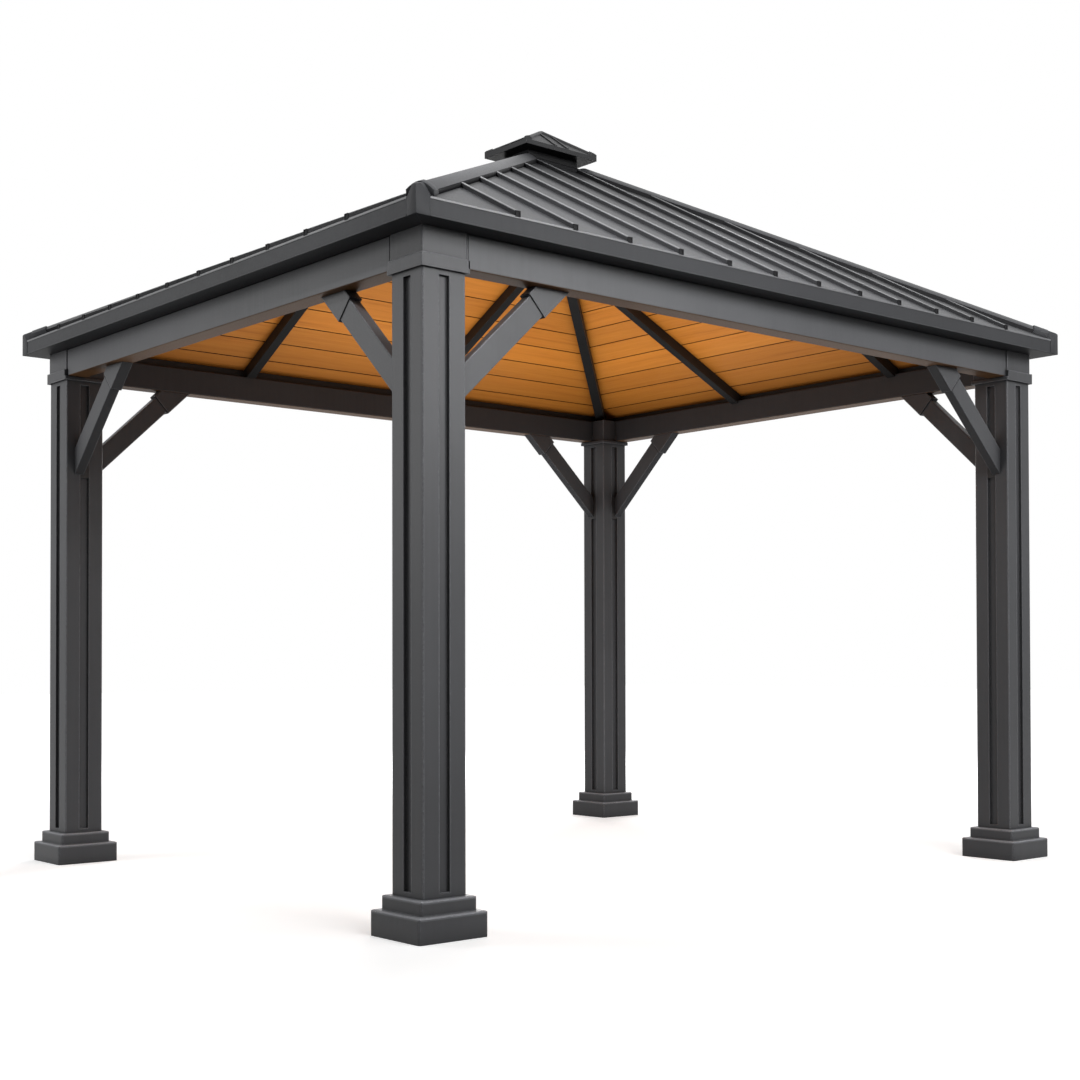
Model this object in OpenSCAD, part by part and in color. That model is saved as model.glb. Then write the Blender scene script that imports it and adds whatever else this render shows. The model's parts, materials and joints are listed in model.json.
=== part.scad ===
// Metal gazebo: four grooved posts carry a hipped standing-seam roof with a
// timber-look ceiling and a vented cap. Millimetres, ground at z = 0, the long
// side along X, the front towards -Y.

/* [Plan] */
// Distance between post centres along the long side
post_pitch_x = 3260; // [2800:10:4000]
// Distance between post centres along the short side
post_pitch_y = 2710; // [2400:10:3600]
// From a post's outer face out to the face of the fascia
eave_overhang = 91.5; // [80:0.5:160]

/* [Heights] */
// Ground to the soffit, which is level with the top of the beams
soffit_z = 2300; // [2000:10:2700]
// Height of the fascia
fascia_h = 64; // [56:1:100]
// From the top of the fascia up to the foot of the vent collar
roof_rise = 790; // [600:10:1000]

/* [Posts] */
// Width of a square post
post_w = 173; // [140:1:200]
// Wall of the post
post_wall = 2; // [1.5:0.5:4]
// Rounding of the edges of posts, heads and beams
edge_r = 4; // [2:0.5:6]
// Width of the groove down each face of a post
groove_w = 40; // [24:1:56]
// Depth of the groove
groove_d = 12; // [6:1:18]
// Plain length left between a groove's end and the cover next to it
groove_end = 17; // [8:1:40]

/* [Feet] */
// How far each tier of the base cover steps out
base_step = 26; // [21:0.5:36]
// Height of the lower tier
base_low_h = 86; // [60:1:120]
// Height of the upper tier
base_top_h = 48; // [30:1:70]
// Rounding of the edges of both tiers
base_r = 10; // [4:0.5:13]
// Sheet of the base cover
cover_wall = 2.5; // [1.5:0.5:4]
// Thickness of the foot plate welded under a post
plate_t = 8; // [5:1:12]
// Radius of an anchor hole in the foot plate
anchor_r = 6.5; // [5:0.5:8]

/* [Beams] */
// Height of a beam
beam_h = 117; // [95:1:150]
// Width of a beam
beam_t = 88; // [84:1:110]
// Wall of a beam
beam_wall = 2.5; // [2:0.5:4]
// Shadow gap between a beam's end and the post's head
reveal = 9; // [4:1:14]
// Length of the notch in the foot of a beam's end, beside the band
notch_len = 6; // [3:1:12]

/* [Post heads] */
// How far the head stands out from the post
head_proud = 4; // [3:1:10]
// How far the band stands out from the post
band_proud = 12; // [6:1:16]
// Height of the band
band_h = 45; // [30:1:60]
// How far the band hangs below the beams
band_drop = 17; // [8:1:30]
// Length of the stub that carries a beam's end
stub_len = 70; // [50:1:110]
// How far the stub's sides stay back from the walls of the beam
stub_set = 4; // [0.5:0.5:16]

/* [Knee braces] */
// Reach of a brace's lower edge along the beam
brace_reach = 470; // [380:1:560]
// Reach of a brace's lower edge down the post
brace_drop = 440; // [360:1:540]
// Depth of a brace
brace_d = 84; // [60:1:100]
// Thickness of a brace
brace_t = 44; // [40:1:50]
// Rounding of a brace's long edges
brace_r = 3; // [2:0.5:5]
// How far a brace lies outside the post's centre line
brace_off = 26; // [24:1:30]
// How far the socket stands out above and below the brace
socket_proud = 9; // [5:1:12]
// Side wall of the socket
socket_wall = 3; // [2:0.5:4]
// Length of the socket along its short edge
socket_len = 42; // [30:1:70]
// How far the pad in the groove shows below the brace
pad_tail = 13; // [8:1:24]

/* [Roof] */
// Thickness of the roof sheet and the fascia, measured upright
sheet_t = 3; // [2:0.5:4]
// Spacing of the standing seams
seam_pitch = 254; // [200:1:300]
// Width of a seam
seam_w = 18; // [14:1:26]
// Height of a seam
seam_h = 16; // [12:1:26]
// Least distance from the outermost seam to the eave's corner
seam_margin = 380; // [300:5:420]
// Half width of a hip cap
hip_cap_r = 41; // [34:1:48]
// Height of a hip cap above the roof, measured square to the hip
hip_cap_h = 29; // [24:1:36]
// Height of the hems along both edges of a hip cap
hip_hem = 17; // [12:1:22]
// How much the corner hood stands out all round the hip cap
hood_proud = 4.5; // [4:0.5:8]
// Length of the corner hood along the hip
hood_len = 126; // [100:1:170]
// Half width of the hood's nose along its top
nose_r = 15; // [10:1:20]
// Half width of the nose at its foot
nose_foot = 36; // [30:1:44]
// How far the nose lies below the sleeve behind it
nose_step = 5; // [3:0.5:8]
// Length of the hood's nose along the hip
nose_len = 58; // [48:1:70]
// Sheet of the hip caps and hoods
fold_t = 2.5; // [2:0.5:3]

/* [Roof frame] */
// From the roof surface down to the underside of the ceiling, measured upright
ceiling_drop = 110; // [95:1:115]
// Thickness of the ceiling, measured upright
ceiling_t = 12; // [8:1:18]
// Depth of the rafters that shows below the ceiling, measured upright
rafter_drop = 55; // [40:1:70]
// Width of a hip rafter
hip_rafter_w = 50; // [40:1:60]
// Width of a rafter
rafter_w = 46; // [36:1:60]
// Distance between the two rafters of a slope
rafter_pitch = 1040; // [800:10:1200]
// How far each pair of rafters is shifted towards the end corners
rafter_shift = 210; // [0:10:240]
// From a beam's inner face back to the ledger
ledger_set = 30; // [20:1:40]
// Width of the ledger
ledger_w = 36; // [28:1:44]

/* [Vent] */
// Length of the vent collar
collar_x = 290; // [250:1:340]
// Width of the vent collar
collar_y = 170; // [150:1:220]
// Height of the collar that shows above the roof
collar_h = 46; // [36:1:70]
// Wall of the collar
collar_wall = 3; // [2:0.5:5]
// Width of the flashing round the collar's foot
flash_w = 34; // [20:1:50]
// Thickness of the flashing, measured upright
flash_t = 18; // [4:1:24]
// How far the vent cap overhangs the collar
vent_over = 65; // [45:1:80]
// Height of the vent cap's fascia
vent_fascia_h = 20; // [16:1:34]
// Rise of the vent cap's roof
vent_rise = 108; // [80:1:140]
// Half width of the vent cap's hip covers
vent_hip_r = 13; // [9:1:18]
// Height of the vent cap's hip covers and seams
vent_hip_h = 6; // [5:1:12]
// Width of the vent cap's seams
vent_seam_w = 12; // [8:1:16]
// Distance between the two seams on each slope of the vent cap
vent_seam_pitch = 70; // [50:1:110]
// Half width of the vent cap's corner pieces
vent_hood_r = 18; // [15:1:24]
// Length of the vent cap's corner pieces along the hip
vent_hood_len = 42; // [30:1:60]
// How far the corner pieces stand out above the hip covers
vent_hood_proud = 3; // [2:0.5:8]

/* [Hidden] */

// Clearance of a slip fit
fit = 0.5;
// Clearance of a brace in its socket
socket_fit = 0.2;
// Overshoot of a cutter past the face it cuts
over = 5;

// Half spacing of the posts, half sizes of the eave and of the collar
ax = post_pitch_x / 2;
ay = post_pitch_y / 2;
post_r = post_w / 2;
eave_out = post_r + eave_overhang;
ex = ax + eave_out;
ey = ay + eave_out;
gx = collar_x / 2;
gy = collar_y / 2;

// Levels
eave_z = soffit_z + fascia_h;
collar_z = eave_z + roof_rise;
beam_z = soffit_z - beam_h;
band_z = beam_z - band_drop;
vent_z = collar_z + collar_h;
head_t = 4;
base_h = base_low_h + base_top_h;
// A reach that takes a cutter clear of the roof's edge
deep = roof_rise;

// Widths of the two tiers of the base cover, and the foot plate inside it
base_top_w = post_w + 2 * base_step;
base_low_w = post_w + 4 * base_step;
plate_w = base_low_w - 2 * cover_wall - 24;
anchor_x = (post_r + plate_w / 2) / 2;

// Beams lie flush with the outer faces of the posts
beam_mid = post_r - beam_t / 2;
beam_in = post_r - beam_t;
head_r = post_r + head_proud;
beam_end = head_r + reveal;
beam_len_x = post_pitch_x - 2 * beam_end;
beam_len_y = post_pitch_y - 2 * beam_end;

// Distances of the ledger and the soffit's inner edge from the post's centre line
ledger_in = beam_in + ledger_set;
ledger_out = ledger_in + ledger_w;
soffit_in = post_r - 12;

// Roof pitches: rise per millimetre across the short and the long way
tx = roof_rise / (ex - gx);
ty = roof_rise / (ey - gy);

// The hip line over the front left corner: turn in plan, climb and length
hip_turn = atan2(ey - gy, ex - gx);
hip_plan = norm([ex - gx, ey - gy]);
hip_climb = atan2(roof_rise, hip_plan);
hip_len = norm([hip_plan, roof_rise]);
// Fall of the two roof slopes in a section square to the hip
fall_front = ty * cos(hip_turn)
  / (ty * sin(hip_turn) * sin(hip_climb) + cos(hip_climb));
fall_left = tx * sin(hip_turn)
  / (tx * cos(hip_turn) * sin(hip_climb) + cos(hip_climb));

// Half sizes and levels of the vent cap
vx = gx + vent_over;
vy = gy + vent_over;
vent_eave_z = vent_z + vent_fascia_h;
vent_apex_z = vent_eave_z + vent_rise;
vent_wall = 2.5;

metal = "#4b4c4f";
dark_metal = "#35363a";
roof_metal = "#3f4043";
timber = "#b8732f";

// Eave half length, eave half depth, collar half length, collar half depth,
// post half spacing across the slope, which way its rafters are shifted, and
// the depth of its flashing, so that the flashings meet on the hips
long_slope = [ex, ey, gx, gy, ay, 1, flash_w];
short_slope = [ey, ex, gy, gx, ax, -1, flash_w * (ex - gx) / (ey - gy)];
all_slopes = [[0, long_slope], [180, long_slope], [-90, short_slope], [90, short_slope]];

// Places a piece drawn for the front left corner at any corner
module at_corner(x, y) {
  mirror([x > 0 ? 1 : 0, 0, 0])
    mirror([0, y > 0 ? 1 : 0, 0])
      children();
}

// Extrudes an upright outline drawn across Y and Z along X, about the middle
module along_x(length) {
  rotate([90, 0, 90])
    linear_extrude(height = length, center = true)
      children();
}

// The same along Y, for an outline drawn across X and Z
module along_y(length) {
  rotate([90, 0, 0])
    linear_extrude(height = length, center = true)
      children();
}

// A box given by its two far corners
module span(low, high) {
  translate(low)
    cube(high - low);
}

// Points round the corner of an outline, a quarter turn from the given angle
edge_step = 30;
function corner_arc(x, y, r, from) =
  [for (turn = [0:edge_step:90]) [x + r * cos(from + turn), y + r * sin(from + turn)]];

// A rectangle about the middle with rounded corners
function rounded(w, h, r) = concat(
  corner_arc(w / 2 - r, h / 2 - r, r, 0), corner_arc(r - w / 2, h / 2 - r, r, 90),
  corner_arc(r - w / 2, r - h / 2, r, 180), corner_arc(w / 2 - r, r - h / 2, r, 270)
);

// An upright square bar with rounded edges, between two heights
module bar(w, r, low, high) {
  translate([0, 0, low])
    linear_extrude(height = high - low)
      polygon(rounded(w, w, r));
}

// A square block with rounded top and upright edges
module soft_block(w, h, r) {
  outline = concat(
    [[-w / 2, 0], [w / 2, 0]],
    corner_arc(w / 2 - r, h - r, r, 0), corner_arc(r - w / 2, h - r, r, 90)
  );
  intersection() {
    along_x(w) polygon(outline);
    along_y(w) polygon(outline);
    bar(w, r, 0, h);
  }
}

// Post: a square tube with a blind groove down each face and a foot plate
module groove_bars(w, d, low, high) {
  for (turn = [0:90:270])
    rotate([0, 0, turn])
      span([post_r - d, -w / 2, low], [post_r + over, w / 2, high]);
}

module post() {
  low = base_h + groove_end;
  high = band_z - groove_end;
  top = soffit_z - head_t;
  bore_r = post_r - post_wall;
  difference() {
    union() {
      span([-plate_w / 2, -plate_w / 2, 0], [plate_w / 2, plate_w / 2, plate_t]);
      bar(post_w, edge_r, plate_t, top);
    }
    groove_bars(groove_w, groove_d, low, high);
    difference() {
      span([-bore_r, -bore_r, plate_t], [bore_r, bore_r, top + over]);
      groove_bars(groove_w + 2 * post_wall, groove_d + post_wall,
        low - post_wall, high + post_wall);
    }
    for (x = [-1, 1], y = [-1, 1])
      translate([x * anchor_x, y * anchor_x, -over])
        cylinder(r = anchor_r, h = plate_t + 2 * over, $fn = 48);
  }
}

module post_at(x, y) {
  color(metal)
    translate([x * ax, y * ay, 0])
      post();
}

// Base cover: a two-tier sheet cover round the foot of a post, open below
module base_cover() {
  difference() {
    union() {
      soft_block(base_low_w, base_low_h, base_r);
      translate([0, 0, base_low_h - over])
        soft_block(base_top_w, base_top_h + over, base_r);
    }
    translate([0, 0, -over])
      soft_block(base_low_w - 2 * cover_wall, base_low_h - cover_wall + over, base_r - cover_wall);
    soft_block(base_top_w - 2 * cover_wall, base_h - cover_wall, base_r - cover_wall);
    span([-post_r - fit, -post_r - fit, 0], [post_r + fit, post_r + fit, base_h + over]);
  }
}

module base_at(x, y) {
  color(metal)
    translate([x * ax, y * ay, 0])
      base_cover();
}

// Post head: a banded cap over the post with a stub for each beam
module head_stub() {
  w = beam_t / 2 - beam_wall - stub_set;
  low = beam_z + beam_wall;
  high = soffit_z - beam_wall;
  rib = 4;
  difference() {
    span([head_r - over, -w, low], [beam_end + stub_len, w, high]);
    span([head_r, rib - w, low + rib], [beam_end + stub_len + over, w - rib, high - rib]);
  }
}

// The band goes all round below the beams and gives way beside them
module head_band() {
  band_r = post_r + band_proud;
  past = band_r + over;
  difference() {
    bar(2 * band_r, edge_r, band_z, band_z + band_h);
    span([head_r, -past, beam_z - 1], [past, past, soffit_z]);
    span([-past, head_r, beam_z - 1], [past, past, soffit_z]);
  }
}

module head() {
  difference() {
    union() {
      head_band();
      bar(2 * head_r, edge_r, band_z, soffit_z);
      translate([0, -beam_mid, 0]) head_stub();
      translate([-beam_mid, 0, 0]) rotate([0, 0, 90]) head_stub();
    }
    span([-post_r - fit, -post_r - fit, band_z - over],
      [post_r + fit, post_r + fit, soffit_z - head_t]);
  }
}

module head_at(x, y) {
  color(metal)
    at_corner(x, y)
      translate([-ax, -ay, 0])
        head();
}

// Beam: a box section from head to head, drawn along X about its own middle
module beam(length) {
  difference() {
    along_x(length)
      difference() {
        translate([0, beam_z + beam_h / 2])
          polygon(rounded(beam_t, beam_h, edge_r));
        translate([beam_wall - beam_t / 2, beam_z + beam_wall])
          square([beam_t - 2 * beam_wall, beam_h - 2 * beam_wall]);
      }
    for (end = [-1, 1])
      translate([end * length / 2, 0, 0])
        span([-notch_len, -beam_t, band_z], [notch_len, beam_t, band_z + band_h]);
  }
}

module beam_long(side) {
  color(metal)
    translate([0, side * (ay + beam_mid), 0])
      beam(beam_len_x);
}

module beam_short(side) {
  color(metal)
    translate([side * (ax + beam_mid), 0, 0])
      rotate([0, 0, 90])
        beam(beam_len_y);
}

// Knee brace in its own plane: along the beam from the post's face, and up
brace_turn = atan2(brace_drop, brace_reach);
brace_foot = brace_d / cos(brace_turn);

// Where a line beside the brace's lower edge meets a level near the beam's foot
function brace_x(aside, level) = (brace_drop - aside / cos(brace_turn) + level) / tan(brace_turn);

module brace_outline(room, top) {
  polygon([
    [0, beam_z - brace_drop - room / cos(brace_turn)],
    [brace_x(-room, top), beam_z + top],
    [brace_x(brace_d + room, top), beam_z + top],
    [0, beam_z - brace_drop + brace_foot + room / cos(brace_turn)]
  ]);
}

module socket_outline() {
  depth = brace_d + 2 * socket_proud;
  near = brace_x(brace_d + socket_proud, 0);
  mouth = [near - socket_len * cos(brace_turn), beam_z - socket_len * sin(brace_turn)];
  polygon([
    [brace_x(-socket_proud, 0), beam_z], [near, beam_z], mouth,
    mouth + depth * [sin(brace_turn), -cos(brace_turn)]
  ]);
}

// The brace is a rounded bar along its slope, cut to the post and the beam
module brace() {
  middle = [brace_x(brace_d / 2, 0), brace_foot / 2 - brace_drop];
  intersection() {
    translate([middle[0] / 2, 0, beam_z + middle[1] / 2])
      rotate([0, 90 - brace_turn, 0])
        linear_extrude(height = 2 * (brace_reach + brace_drop), center = true)
          polygon(rounded(brace_d, brace_t, brace_r));
    span([0, -brace_t, beam_z - 2 * brace_drop], [2 * brace_reach, brace_t, beam_z]);
  }
}

module brace_socket() {
  difference() {
    along_y(brace_t + 2 * socket_wall)
      socket_outline();
    along_y(brace_t + 2 * socket_fit)
      brace_outline(socket_fit, over);
  }
}

// The pad fills the groove behind the brace's foot and shows a little below it
module brace_pad() {
  low = beam_z - brace_drop - pad_tail;
  high = beam_z - brace_drop + brace_foot - 4;
  span([-groove_d, fit - groove_w / 2, low], [0, groove_w / 2 - fit, high]);
}

// Puts a piece drawn in the brace's plane at both ends of a beam
module at_braces(slope, offset_y) {
  half = slope[0] - eave_out;
  for (end = [0, 1])
    mirror([end, 0, 0])
      translate([post_r - half, -slope[4] - offset_y, 0])
        children();
}

// Turns a piece drawn for the front slope to one of the four sides
module turned(turn) {
  rotate([0, 0, turn])
    children();
}

module braces(turn, slope) {
  color(metal)
    turned(turn)
      at_braces(slope, brace_off)
        brace();
}

module brace_sockets() {
  color(metal)
    for (side = all_slopes)
      turned(side[0])
        at_braces(side[1], brace_off)
          brace_socket();
}

module brace_pads() {
  color(dark_metal)
    for (side = all_slopes)
      turned(side[0])
        at_braces(side[1], 0)
          brace_pad();
}

// Roof slopes are drawn for the front, falling towards -Y
function slope_pitch(slope) = roof_rise / (slope[1] - slope[3]);
function roof_z(slope, depth) = eave_z + (slope[1] - depth) * slope_pitch(slope);

// A slab parallel to the roof, between two upright drops and two depths in plan
module slope_slab(slope, high_drop, low_drop, outer, inner, width) {
  along_x(width)
    polygon([
      [-outer, roof_z(slope, outer) - high_drop],
      [-inner, roof_z(slope, inner) - high_drop],
      [-inner, roof_z(slope, inner) - low_drop],
      [-outer, roof_z(slope, outer) - low_drop]
    ]);
}

// The plan of a slope between its hips, kept a distance clear of the hip lines
module slope_plan(slope, clear, outer, inner) {
  run = (slope[0] - slope[2]) / (slope[1] - slope[3]);
  back = clear * norm([1, run]);
  wide = slope[2] + (outer - slope[3]) * run - back;
  narrow = slope[2] + (inner - slope[3]) * run - back;
  linear_extrude(height = vent_apex_z)
    polygon([[-wide, -outer], [wide, -outer], [narrow, -inner], [-narrow, -inner]]);
}

// Roof slope: one sheet with its row of standing seams
module roof_slope(slope) {
  seams = floor((slope[0] - seam_margin) / seam_pitch + 0.5);
  intersection() {
    slope_slab(slope, 0, sheet_t, slope[1], slope[3], 2 * slope[0]);
    slope_plan(slope, 0, slope[1], slope[3]);
  }
  intersection() {
    for (i = [-seams:seams - 1])
      translate([(i + 0.5) * seam_pitch, 0, 0])
        slope_slab(slope, -seam_h, sheet_t / 2, slope[1], slope[3] + slope[6], seam_w);
    slope_plan(slope, hip_cap_r + 1, slope[1], slope[3] + slope[6]);
  }
}

module roof_side(turn, slope) {
  color(roof_metal)
    turned(turn)
      roof_slope(slope);
}

// Ceiling: one lined slab per slope, from the ledger up to the collar
module ceiling_side(turn, slope) {
  outer = slope[4] + ledger_out;
  color(timber)
    turned(turn)
      intersection() {
        slope_slab(slope, ceiling_drop - ceiling_t, ceiling_drop, outer, slope[3], 2 * slope[0]);
        slope_plan(slope, hip_rafter_w / 2, outer, slope[3]);
      }
}

// Fascia: an angle with its soffit flange lying on the beam, mitred at the corners
module fascia_side(turn, slope) {
  inner = slope[4] + soffit_in;
  deepest = slope[1] - inner;
  color(metal)
    turned(turn)
      intersection() {
        along_x(2 * slope[0])
          polygon([
            [-slope[1], soffit_z], [-inner, soffit_z],
            [-inner, soffit_z + sheet_t], [sheet_t - slope[1], soffit_z + sheet_t],
            [sheet_t - slope[1], roof_z(slope, slope[1] - sheet_t) - sheet_t],
            [-slope[1], eave_z - sheet_t]
          ]);
        linear_extrude(height = vent_apex_z)
          polygon([
            [-slope[0], -slope[1]], [slope[0], -slope[1]],
            [slope[0] - deepest, -inner], [deepest - slope[0], -inner]
          ]);
      }
}

// Ledgers: bars on the beams that carry the lower edge of the ceiling
module ledger_bar(slope) {
  outer = slope[4] + ledger_out;
  inner = slope[4] + ledger_in;
  intersection() {
    along_x(2 * slope[0])
      polygon([
        [-outer, soffit_z], [-inner, soffit_z],
        [-inner, roof_z(slope, inner) - ceiling_drop],
        [-outer, roof_z(slope, outer) - ceiling_drop]
      ]);
    slope_plan(slope, hip_rafter_w / 2, outer, inner);
  }
}

module ledgers() {
  color(dark_metal)
    for (side = all_slopes)
      turned(side[0])
        ledger_bar(side[1]);
}

// Rafters: two under each slope, from the ledger up to the hip rafter
module rafter_pair(slope) {
  outer = slope[4] + ledger_in;
  difference() {
    intersection() {
      for (end = [-1, 1])
        translate([slope[5] * rafter_shift + end * rafter_pitch / 2, 0, 0])
          slope_slab(slope, ceiling_drop, ceiling_drop + rafter_drop, outer, slope[3], rafter_w);
      slope_plan(slope, hip_rafter_w / 2, outer, slope[3]);
    }
    span([-slope[0], -slope[1], 0], [slope[0], -slope[4] - beam_in, soffit_z]);
  }
}

module rafters() {
  color(dark_metal)
    for (side = all_slopes)
      turned(side[0])
        rafter_pair(side[1]);
}

// Along the hip over the front left corner: an outline square to the hip line
module along_hip(from, to) {
  translate([-ex, -ey, eave_z])
    rotate([0, 0, hip_turn])
      rotate([0, -hip_climb, 0])
        translate([from, 0, 0])
          rotate([90, 0, 90])
            linear_extrude(height = to - from)
              children();
}

// Hip rafters: box members under the hips, backed to both slopes at the top
module hip_rafter() {
  r = hip_rafter_w / 2;
  top = -sheet_t * cos(hip_climb);
  low = -(ceiling_drop + rafter_drop) * cos(hip_climb);
  difference() {
    intersection() {
      along_hip(0, hip_len + deep)
        polygon([
          [-r, low], [r, low], [r, top - fall_left * r],
          [0, top], [-r, top - fall_front * r]
        ]);
      span([-ax - soffit_in + 1, -ay - soffit_in + 1, soffit_z], [-over, -over, vent_z]);
    }
    span([-gx, -gy, 0], [gx, gy, vent_apex_z]);
  }
}

module hip_rafters() {
  color(dark_metal)
    for (x = [-1, 1], y = [-1, 1])
      at_corner(x, y)
        hip_rafter();
}

// Hip caps: crowned covers over both slopes, with hems down to the sheets
crown_steps = 4;
crown_power = 1.6;
function crown(r, h, hem, fall, share) =
  h - (h - hem + fall * r) * pow(share, crown_power);

module wing_outline(r, h, hem, low) {
  polygon(concat(
    [[-r, -fall_front * r - low]],
    [for (i = [crown_steps:-1:1])
      [-r * i / crown_steps, crown(r, h, hem, fall_front, i / crown_steps)]],
    [for (i = [0:crown_steps])
      [r * i / crown_steps, crown(r, h, hem, fall_left, i / crown_steps)]],
    [[r, -fall_left * r - low]]
  ));
}

module hip_cap() {
  difference() {
    along_hip(nose_len + fold_t, hip_len + deep)
      difference() {
        wing_outline(hip_cap_r, hip_cap_h, hip_hem, 0);
        wing_outline(hip_cap_r - fold_t, hip_cap_h - fold_t, hip_hem - fold_t, deep);
      }
    span([-gx - short_slope[6], -gy - long_slope[6], 0], [ex, ey, vent_apex_z + deep]);
  }
}

module hip_caps() {
  color(roof_metal)
    for (x = [-1, 1], y = [-1, 1])
      at_corner(x, y)
        hip_cap();
}

// Corner hoods: folded pieces that wrap the corner of the fascia. The nose tapers to the
// corner, and the sleeve behind it closes over the lower end of the hip cap.
module nose_outline(grow) {
  top = nose_r + grow;
  foot = nose_foot + grow;
  high = hip_cap_h + hood_proud - nose_step + grow;
  tuck = 2;
  soft = 4;
  polygon([
    [-foot, -deep], [foot, -deep], [foot, -fall_left * foot - tuck],
    [top, high - soft], [top - soft, high], [soft - top, high], [-top, high - soft],
    [-foot, -fall_front * foot - tuck]
  ]);
}

module hood_form(grow, past) {
  along_hip(-deep, nose_len + past)
    nose_outline(grow);
  along_hip(nose_len - grow, hood_len + past)
    wing_outline(hip_cap_r + hood_proud + grow, hip_cap_h + hood_proud + grow,
      hip_hem + hood_proud + grow, deep / 2);
}

module corner_hood() {
  difference() {
    intersection() {
      hood_form(0, 0);
      span([-ex - fold_t, -ey - fold_t, soffit_z], [0, 0, vent_z]);
    }
    intersection() {
      union() {
        hood_form(-fold_t, over);
        along_hip(-deep, hood_len + over)
          polygon([
            [-deep, -deep], [deep, -deep], [deep, -fall_left * deep],
            [0, 0], [-deep, -fall_front * deep]
          ]);
      }
      span([-ex, -ey, 0], [0, 0, vent_z + over]);
    }
  }
}

module corner_hoods() {
  color(metal)
    for (x = [-1, 1], y = [-1, 1])
      at_corner(x, y)
        corner_hood();
}

// A hipped block: level eaves all round and four slopes up to a point
module hipped_block(rx, ry, low, eave, apex) {
  intersection() {
    along_x(2 * rx)
      polygon([[-ry, low], [ry, low], [ry, eave], [0, apex], [-ry, eave]]);
    along_y(2 * ry)
      polygon([[-rx, low], [rx, low], [rx, eave], [0, apex], [-rx, eave]]);
  }
}

// Flashing: a sloped skirt on the roof round the foot of the collar
module vent_flashing() {
  color(roof_metal)
    for (side = all_slopes)
      turned(side[0])
        intersection() {
          slope_slab(side[1], -flash_t, 0, side[1][3] + side[1][6], side[1][3], 2 * ex);
          slope_plan(side[1], 0, side[1][3] + side[1][6], side[1][3]);
        }
}

// Collar: an upright duct through the peak of the roof
module vent_collar() {
  low = roof_z(long_slope, gy) - ceiling_drop - rafter_drop;
  color(dark_metal)
    difference() {
      span([-gx, -gy, low], [gx, gy, vent_z]);
      span([collar_wall - gx, collar_wall - gy, low - over],
        [gx - collar_wall, gy - collar_wall, vent_z + over]);
    }
}

// Vent cap: a small hipped roof with its own seams, open to the collar below
module vent_cap() {
  drop = vent_wall * 1.3;
  color(roof_metal)
    difference() {
      union() {
        hipped_block(vx, vy, vent_z, vent_eave_z, vent_apex_z);
        vent_hips();
        vent_seams();
      }
      hipped_block(vx - vent_wall, vy - vent_wall, vent_z + vent_wall,
        vent_eave_z - drop, vent_apex_z - drop);
      span([2 * collar_wall - gx, 2 * collar_wall - gy, vent_z - over],
        [gx - 2 * collar_wall, gy - 2 * collar_wall, vent_z + 2 * vent_wall]);
    }
}

// Along the cap's hip over the front left corner, kept inside the cap's eaves
module along_vent_hip(from, to) {
  turn = atan2(vy, vx);
  climb = atan2(vent_rise, norm([vx, vy]));
  intersection() {
    translate([-vx, -vy, vent_eave_z])
      rotate([0, 0, turn])
        rotate([0, -climb, 0])
          translate([from, 0, 0])
            rotate([90, 0, 90])
              linear_extrude(height = to - from)
                children();
    span([-vx, -vy, vent_z], [0, 0, vent_apex_z + vent_hip_h]);
  }
}

module vent_hip_outline(r, h) {
  polygon([[-r, -2 * r], [r, -2 * r], [r, 0], [r / 2, h], [-r / 2, h], [-r, 0]]);
}

module vent_hips() {
  length = norm([vx, vy, vent_rise]);
  for (x = [-1, 1], y = [-1, 1])
    at_corner(x, y) {
      along_vent_hip(-over, length + over)
        vent_hip_outline(vent_hip_r, vent_hip_h);
      along_vent_hip(-vent_hood_len, vent_hood_len)
        vent_hip_outline(vent_hood_r, vent_hip_h + vent_hood_proud);
    }
}

module vent_seams() {
  h = vent_hip_h;
  for (side = [[0, vx, vy], [180, vx, vy], [-90, vy, vx], [90, vy, vx]])
    turned(side[0])
      for (end = [-1, 1])
        translate([end * vent_seam_pitch / 2, 0, 0])
          vent_seam(side[2], (vent_seam_pitch / 2 + vent_seam_w) * side[2] / side[1], h);
}

module vent_seam(eave, inner, h) {
  rise = vent_rise * (1 - inner / eave);
  along_x(vent_seam_w)
    polygon([
      [-eave, vent_eave_z - h], [-eave, vent_eave_z + h],
      [-inner, vent_eave_z + rise + h], [-inner, vent_eave_z + rise - h]
    ]);
}

post_at(-1, -1);  // post_front_left
post_at(1, -1);  // post_front_right
post_at(-1, 1);  // post_back_left
post_at(1, 1);  // post_back_right
base_at(-1, -1);  // base_front_left
base_at(1, -1);  // base_front_right
base_at(-1, 1);  // base_back_left
base_at(1, 1);  // base_back_right
head_at(-1, -1);  // head_front_left
head_at(1, -1);  // head_front_right
head_at(-1, 1);  // head_back_left
head_at(1, 1);  // head_back_right
beam_long(-1);  // beam_front
beam_long(1);  // beam_back
beam_short(-1);  // beam_left
beam_short(1);  // beam_right
braces(0, long_slope);  // braces_front
braces(180, long_slope);  // braces_back
braces(-90, short_slope);  // braces_left
braces(90, short_slope);  // braces_right
brace_sockets();
brace_pads();
ledgers();
hip_rafters();
rafters();
ceiling_side(0, long_slope);  // ceiling_front
ceiling_side(180, long_slope);  // ceiling_back
ceiling_side(-90, short_slope);  // ceiling_left
ceiling_side(90, short_slope);  // ceiling_right
fascia_side(0, long_slope);  // fascia_front
fascia_side(180, long_slope);  // fascia_back
fascia_side(-90, short_slope);  // fascia_left
fascia_side(90, short_slope);  // fascia_right
roof_side(0, long_slope);  // roof_front
roof_side(180, long_slope);  // roof_back
roof_side(-90, short_slope);  // roof_left
roof_side(90, short_slope);  // roof_right
hip_caps();
corner_hoods();
vent_flashing();
vent_collar();
vent_cap();
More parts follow.
